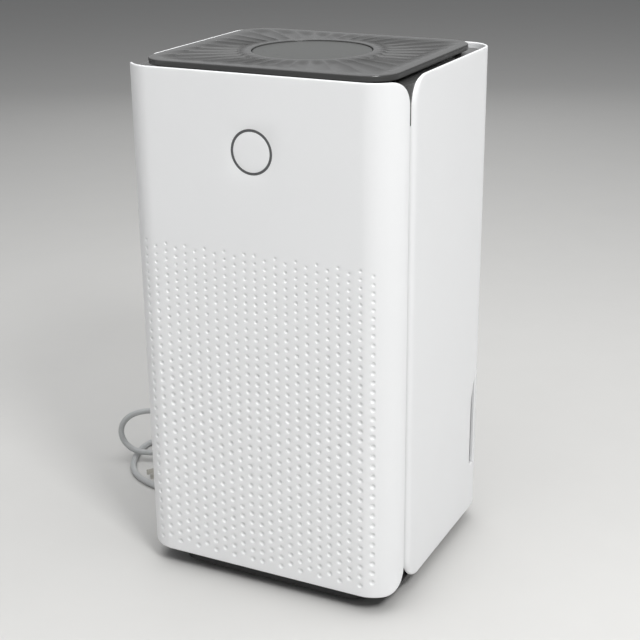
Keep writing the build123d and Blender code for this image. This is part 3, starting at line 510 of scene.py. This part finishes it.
REAR_STEPS = (8, 3, 1, 14, 6, 6, 12, 8)  # rows between the anchors of rear_level
ROW_AT = [sum(REAR_STEPS[:k]) for k in range(len(REAR_STEPS) + 1)]


def rear_level(s):
    rise = corner(s, SHELL_END, SHELL_R, ROLL_OUT, LIP)
    foot, head = CASE_Z0 + LIP + rise, CASE_Z1 - LIP - rise
    t = min(1.0, max(0.0, (abs(s) - 120) / 60))
    anchors = (foot, 54.0, TANK_Z0, GRIP_Z0, grip_top(s), TANK_Z1, GRILLE_Z0, GRILLE_Z1 - 26 * t, head)
    out = []
    for low, high, count in zip(anchors, anchors[1:], REAR_STEPS):
        out += spaced(low, high, count)
    return out + [head]


rear_half = spaced(0, 70.5, 8) + spaced(70.5, 85.5, 6) + spaced(85.5, 102.0, 4) + [102.0, 107.5, OPEN_X]
rear_half += [FLAT_END + REAR_R * pi / 2 * k / 12 for k in range(12)]
rear_half += [SIDE_START + (HALF_D - REAR_R - WING_Y) * (1 - (1 - k / 10) ** 2) for k in range(10)]
wing_s = SIDE_START + HALF_D - REAR_R - WING_Y
rear_half += spaced(wing_s, SHELL_END - SHELL_R, 18)
rear_half += [SHELL_END - SHELL_R + (SHELL_R - ROLL_OUT) * sin(radians(90 * k / 14)) for k in range(15)]
rear_cols = [-s for s in reversed(rear_half[1:])] + rear_half


def col_at(s):
    return min(range(len(rear_cols)), key=lambda i: abs(rear_cols[i] - s))


def cells(s0, s1, k0, k1):
    """The cells between two places along the plan and two anchors of rear_level."""
    return {(i, j) for i in range(col_at(s0), col_at(s1)) for j in range(ROW_AT[k0], ROW_AT[k1])}


rear_holes = cells(-OPEN_X, OPEN_X, 2, 5) | cells(-OPEN_X, OPEN_X, 6, 7)  # tank, grille
rear_holes |= cells(-wing_s, -OPEN_X, 3, 4) | cells(OPEN_X, wing_s, 3, 4)  # hand grips
port = (col_at(-85.5), col_at(-70.5), ROW_AT[5], ROW_AT[6], -78.0, 258.5, [(6.5 + CUT, 0.0)], True)
cord_hole = (col_at(83.0), col_at(102.0), ROW_AT[1] - 5, ROW_AT[1], 92.0, 44.0, [(7.0 + CUT, 0.0)], True)


def shell_rim(s, border):
    if not border:
        return CUT, CUT
    t = min(1.0, max(0.0, (abs(s) - (SHELL_END - SHELL_R)) / (SHELL_R - ROLL_OUT))) ** 2
    return LIP + (ROLL_OUT - LIP) * t, LIP + (ROLL_IN - LIP) * t


rear = case_wall("rear_shell_rolled", rear_cols, rear_level, REAR_R, False, rear_holes, [port, cord_hole], shell_rim)
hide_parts("rear_shell")

# ---------------------------------------------------------------- fluted top plate
PLATE_W, PLATE_D, PLATE_R, PLATE_Y = 126.0, 111.0, 30.0, -1.0
PLATE_Z0, RECESS_Z, PLATE_Z1, DISC_R = 518.0, 519.4, 523.5, 58.0
FLUTES, SCOOP, RAMP = 36, 2.2, 16  # number, depth, and how far each end takes to reach it


def from_edge(x, y):
    """Distance in from the plate's outline."""
    a, b = abs(x) - (PLATE_W - PLATE_R), abs(y - PLATE_Y) - (PLATE_D - PLATE_R)
    return PLATE_R - hypot(max(a, 0), max(b, 0)) - min(max(a, b), 0)


def reach(angle, inset):
    """Distance from the middle, along angle, to the line that is inset from the plate's outline."""
    low, high = 60.0, 200.0
    for _ in range(40):
        r = (low + high) / 2
        low, high = (r, high) if from_edge(r * cos(angle), r * sin(angle)) > inset else (low, r)
    return low


def smooth(t):
    t = min(1.0, max(0.0, t))
    return t * t * (3 - 2 * t)


bm = bmesh.new()
spokes, per_flute, ring_count = [], 14, 44
for flute in range(FLUTES):
    for k in range(per_flute):
        across = sin(pi / 2 * (2 * k / per_flute - 1))
        angle = (flute + across / 2) * tau / FLUTES
        hollow = 1 - across * across
        c, s = cos(angle), sin(angle)
        rim = reach(angle, 1.0)
        spoke = [(DISC_R + 0.2, RECESS_Z), (DISC_R + 0.2, PLATE_Z1 - 0.5), (DISC_R + 0.35, PLATE_Z1 - 0.15),
                 (DISC_R + 0.7, PLATE_Z1)]
        for n in range(1, ring_count + 1):
            r = DISC_R + 0.7 + (rim - DISC_R - 0.7) * n / ring_count
            inwards = smooth((r - DISC_R - 3) / RAMP)
            outwards = smooth((from_edge(r * c, r * s) - 7) / RAMP)
            spoke.append((r, PLATE_Z1 - SCOOP * hollow * inwards * outwards))
        edge = reach(angle, 0.0)
        lip = reach(angle, 3.0)
        spoke += [(reach(angle, 0.35), PLATE_Z1 - 0.25), (edge, PLATE_Z1 - 0.9), (edge, PLATE_Z0 + 0.4),
                  (edge - 0.4, PLATE_Z0), (lip, PLATE_Z0), (lip, RECESS_Z)]
        spokes.append([bm.verts.new((r * c, r * s, z)) for r, z in spoke])
for spoke, after in zip(spokes, spokes[1:] + spokes[:1]):
    for k in range(len(spoke)):
        m = (k + 1) % len(spoke)
        bm.faces.new((spoke[k], spoke[m], after[m], after[k]))
bmesh.ops.recalc_face_normals(bm, faces=bm.faces)
plate = make("fluted_top_plate", bm, "charcoal_plastic", "casing", sharp=32)
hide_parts("top_plate")

# ---------------------------------------------------------------- touch marks on the disc
MARKS_Z = 522.5


def mark(bm, x, y, outline, hole=()):
    """A thin printed shape about (x, y), with a hole if one is given."""
    rings = []
    for points, z in ((outline, 0.0), (outline, 0.06)):
        rings.append([bm.verts.new((x + px, y + py, MARKS_Z + z)) for px, py in points])
    stack(bm, rings, cap=not hole)
    if hole:
        holes = [[bm.verts.new((x + px, y + py, MARKS_Z + z)) for px, py in hole] for z in (0.0, 0.06)]
        stack(bm, [holes[1], holes[0]], cap=False)
        stack(bm, [rings[1], holes[1]], cap=False)


def circle(radius, count=20, squeeze=1.0):
    return [(radius * cos(tau * k / count), squeeze * radius * sin(tau * k / count)) for k in range(count)]


def drop(size):
    return [(size * sin(a) * (0.5 - 0.5 * cos(a)) ** 0.7, size * cos(a)) for a in (-tau * k / 24 for k in range(24))]


def bar(length, width):
    return [(-length / 2, -width / 2), (length / 2, -width / 2), (length / 2, width / 2), (-length / 2, width / 2)]


bm = bmesh.new()
mark(bm, -41, -22, circle(2.0), circle(1.5))
mark(bm, -41, -19.8, bar(0.5, 2.2))
mark(bm, -34, -27, drop(2.1))
for k, length in enumerate((1.6, 2.6, 3.6)):
    mark(bm, -18, -37.5 + 1.2 * k, bar(length, 0.5))
mark(bm, 0, -41, circle(1.9), circle(1.4))
mark(bm, 0, -41, circle(0.7, 12))
for dx in (-1.6, 0, 1.6):
    mark(bm, 18 + dx, -36.5, bar(0.5, 3.0))
mark(bm, 34, -27, circle(2.0), circle(1.5))
mark(bm, 34, -26.4, bar(0.5, 1.4))
mark(bm, 41, -18, drop(1.8))
make("touch_marks", bm, "ring_lens", "casing")

# ---------------------------------------------------------------- cord gland and plug
bm = bmesh.new()
GLAND_X, GLAND_Z = LEAD[0][0], LEAD[0][2]
profile = [(10.0, 118.5), (10.0, 121.2), (7.0, 121.5), (7.0, 124.6), (6.6, 125.0)]  # (radius, y)
for y in (126.0, 129.0, 132.0, 135.0, 138.0, 141.0, 144.0):  # ribs
    r = 6.4 - 1.7 * (y - 125) / 25
    profile += [(r, y), (r, y + 1.5), (r - 0.9, y + 1.8), (r - 0.9, y + 2.7)]
profile += [(4.7, 147.5), (4.6, 149.7), (4.3, 150.0)]
rings = []
for r, y in profile:
    around = [(r * cos(tau * k / 32), r * sin(tau * k / 32)) for k in range(32)]
    rings.append([bm.verts.new((GLAND_X + c, y, GLAND_Z - s)) for c, s in around])
stack(bm, rings)
bmesh.ops.recalc_face_normals(bm, faces=bm.faces)
gland = make("ribbed_cord_gland", bm, "grey_cord", "casing")
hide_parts("cord_gland")

PLUG_REAR, PLUG_AXIS, PLUG_SIDE = Vector(TAIL[-1]), Vector((-0.6, -0.8, 0)), Vector((0.8, -0.6, 0))
bm = bmesh.new()
sections = [(-0.5, 4.0, 4.0, 2), (0.0, 4.6, 4.6, 2)]  # (distance, half width, half height, squareness)
for k in range(5):  # strain relief
    d = 0.6 + 2.3 * k
    r = 4.9 + 0.35 * k
    for along, inset in ((0.0, 0.0), (1.2, 0.0), (1.45, 0.8), (2.0, 0.8)):
        sections.append((d + along, r - inset, r * 0.97 - inset, 2.1))
sections += [(12.4, 6.4, 6.2, 2.2), (14.5, 8.6, 7.0, 2.5), (18, 10.6, 7.7, 2.9), (22, 11.3, 7.95, 3.2),
             (27, 11.0, 7.7, 3.2), (31, 11.2, 7.8, 3.2), (34.6, 11.4, 8.0, 3.4), (35.6, 11.1, 7.7, 3.4),
             (36.0, 10.4, 7.0, 3.2)]
rings = []
for d, half_w, half_h, power in sections:
    ring = []
    for k in range(40):
        c, s = cos(tau * k / 40), sin(tau * k / 40)
        across = half_w * abs(c) ** (2 / power) * (1 if c >= 0 else -1)
        over = half_h * abs(s) ** (2 / power) * (1 if s >= 0 else -1)
        ring.append(bm.verts.new(PLUG_REAR + PLUG_AXIS * d + PLUG_SIDE * across + Vector((0, 0, over))))
    rings.append(ring)
stack(bm, rings)
bmesh.ops.recalc_face_normals(bm, faces=bm.faces)
plug = make("moulded_plug", bm, "grey_cord", "casing", sharp=50)
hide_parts("plug_body")

# ---------------------------------------------------------------- floor and lights
bm = bmesh.new()
bmesh.ops.create_grid(bm, x_segments=24, y_segments=24, size=12.0)
mesh = bpy.data.meshes.new("floor")
bm.to_mesh(mesh)
bm.free()
floor = bpy.data.objects.new("floor", mesh)
scene.collection.objects.link(floor)
mesh.materials.append(moulded("floor_paint", (0.62, 0.615, 0.60), 0.7, mottling=0.015, grain=60.0, relief=0.1))
floor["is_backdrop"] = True

world = bpy.data.worlds.new("studio")
world.use_nodes = True
world.node_tree.nodes["Background"].inputs["Color"].default_value = (0.95, 0.97, 1.0, 1.0)
world.node_tree.nodes["Background"].inputs["Strength"].default_value = 0.19
scene.world = world


def softbox(name, place, aim, size, power):
    """A square area lamp at place that faces aim; metres and watts."""
    data = bpy.data.lights.new(name, "AREA")
    data.shape, data.size, data.energy = "SQUARE", size, power
    lamp = bpy.data.objects.new(name, data)
    scene.collection.objects.link(lamp)
    lamp.location = place
    lamp.rotation_euler = (Vector(aim) - Vector(place)).to_track_quat("-Z", "Y").to_euler()


softbox("key", (1.45, -1.1, 1.95), (0, 0, 0.4), 0.5, 28)
softbox("overhead", (0.45, -0.25, 2.3), (0.45, -0.25, 0), 3.2, 68)
softbox("fill", (-1.8, -1.4, 1.2), (0, 0, 0.3), 1.4, 3)
softbox("back", (-1.0, 2.0, 1.25), (0, 0, 0.6), 1.7, 3.2)

low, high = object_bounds()
